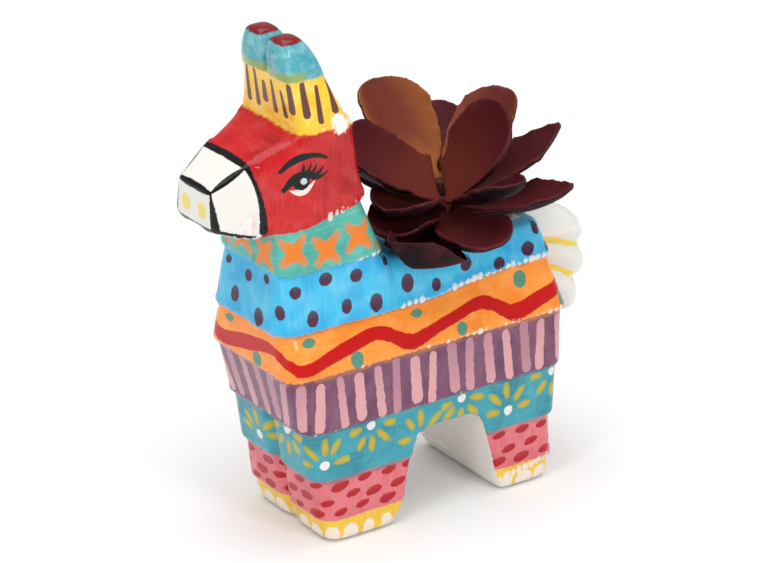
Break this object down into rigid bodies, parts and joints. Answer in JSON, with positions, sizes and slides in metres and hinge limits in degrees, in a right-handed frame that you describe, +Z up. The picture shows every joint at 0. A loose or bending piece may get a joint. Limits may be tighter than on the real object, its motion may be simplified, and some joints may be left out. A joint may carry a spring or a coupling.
{
  "type": "animal shaped planter",
  "caption": "Glazed ceramic donkey planter in fringed painted bands, with a pocket in its back that holds an artificial succulent rosette on a lift-out pick.",
  "frame": {"origin": "middle of the floor under the donkey's bounding box", "axes": "+Z up, -Y the way the donkey faces, +X the donkey's left"},
  "size_m": [0.0665, 0.124, 0.1397],
  "materials": {
    "glaze": "hand-painted bands under a clear gloss glaze",
    "dry_foam": "dry floral foam, matt",
    "stem": "moulded, matt",
    "leaf": "soft moulded leaf, matt, dark red with an orange blush"
  },
  "bodies": {
    "pot": {"donkey_pot": "glaze", "foam_plug": "dry_foam"},
    "plant": {"stem_pick": "stem", "low_leaf_1": "leaf", "low_leaf_2": "leaf", "low_leaf_3": "leaf", "low_leaf_4": "leaf", "low_leaf_5": "leaf", "spread_leaf_1": "leaf", "spread_leaf_2": "leaf", "spread_leaf_3": "leaf", "spread_leaf_4": "leaf", "spread_leaf_5": "leaf", "raised_leaf_1": "leaf", "raised_leaf_2": "leaf", "heart_leaf_1": "leaf", "heart_leaf_2": "leaf"}
  },
  "joints": [
    {"name": "plant_lift", "type": "slide", "parent": "pot", "child": "plant", "axis": [0, 0, 1], "range_m": [0, 0.045]}
  ]
}
